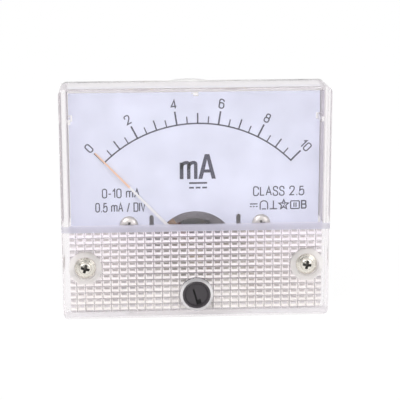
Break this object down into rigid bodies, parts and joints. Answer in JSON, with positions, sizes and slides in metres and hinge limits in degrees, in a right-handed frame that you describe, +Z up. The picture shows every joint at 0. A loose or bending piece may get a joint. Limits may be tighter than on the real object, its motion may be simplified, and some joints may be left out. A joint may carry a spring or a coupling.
{
  "type": "analog panel meter",
  "caption": "Rectangular moving-coil panel meter with a clear cover, a white scale, a zero adjuster and a round barrel with two screw terminals behind.",
  "frame": {"origin": "on the barrel's axis, in the plane of the flange's back face, where the meter meets its panel", "axes": "-Y is where the face looks, +Y runs along the barrel to the terminals, +X is right of the face, +Z up"},
  "size_m": [0.064, 0.0553, 0.056],
  "materials": {
    "clear_cover": "clear moulded polystyrene, polished window",
    "clear_base": "clear moulded polystyrene",
    "dial_white": "matt white enamel on aluminium",
    "pointer_white": "white paint, orange towards the tip",
    "nickel": "nickel plated steel",
    "steel": "bare steel",
    "zinc": "zinc plated steel",
    "brass": "bright brass",
    "magnet": "ground magnet alloy",
    "aluminium": "bare aluminium",
    "copper": "enamelled copper wire",
    "shunt_copper": "copper flashed steel",
    "bronze": "phosphor bronze ribbon",
    "black": "black moulded plastic",
    "dark_sleeve": "dark sleeve over wire",
    "wire_red": "insulated wire"
  },
  "bodies": {
    "housing": {"base_housing": "clear_base", "front_cover": "clear_cover", "dial_plate": "dial_white", "dial_screws": "nickel", "dial_pillars": "brass", "mounting_screws": "nickel", "mounting_washers": "zinc", "mounting_nuts": "zinc", "movement_plate": "zinc", "yoke_ring": "steel", "core_magnet": "magnet", "core_strap": "brass", "core_screws": "nickel", "magnetic_shunt": "shunt_copper", "front_bridge": "zinc", "rear_bridge": "zinc", "bridge_screws": "nickel", "front_jewel_screw": "brass", "rear_jewel_screw": "brass", "front_lock_nut": "nickel", "rear_lock_nut": "nickel", "pointer_stops": "dark_sleeve", "terminal_studs": "brass", "terminal_inner_nuts": "brass", "solder_lugs": "zinc", "terminal_washers": "zinc", "terminal_spring_washers": "steel", "terminal_outer_nuts": "brass", "lead_wires": "wire_red"},
    "adjuster": {"zero_adjuster": "black", "adjuster_clip": "zinc"},
    "lever": {"zero_lever": "aluminium"},
    "moving_coil": {"pointer": "pointer_white", "balance_weights": "zinc", "coil_former": "aluminium", "coil_winding": "copper", "front_pivot": "steel", "rear_pivot": "steel", "front_hairspring": "bronze", "rear_hairspring": "bronze"}
  },
  "joints": [
    {"name": "adjuster_turn", "type": "hinge", "parent": "housing", "child": "adjuster", "pos_m": [0, 0, -0.0221], "axis": [0, 1, 0], "range_deg": [-35, 35]},
    {"name": "lever_turn", "type": "hinge", "parent": "housing", "child": "lever", "pos_m": [0, 0, -0.0129], "axis": [0, 1, 0], "range_deg": [-3.79, 3.79]},
    {"name": "pointer_swing", "type": "hinge", "parent": "lever", "child": "moving_coil", "pos_m": [0, 0, -0.0129], "axis": [0, 1, 0], "range_deg": [-3.8, 91.2], "stiffness_Nm_per_rad": 0.00002, "deforming": ["front_hairspring", "rear_hairspring"]}
  ],
  "couplings": [
    {"joint": "adjuster_turn", "follows": "lever_turn", "ratio": -9.2222}
  ]
}
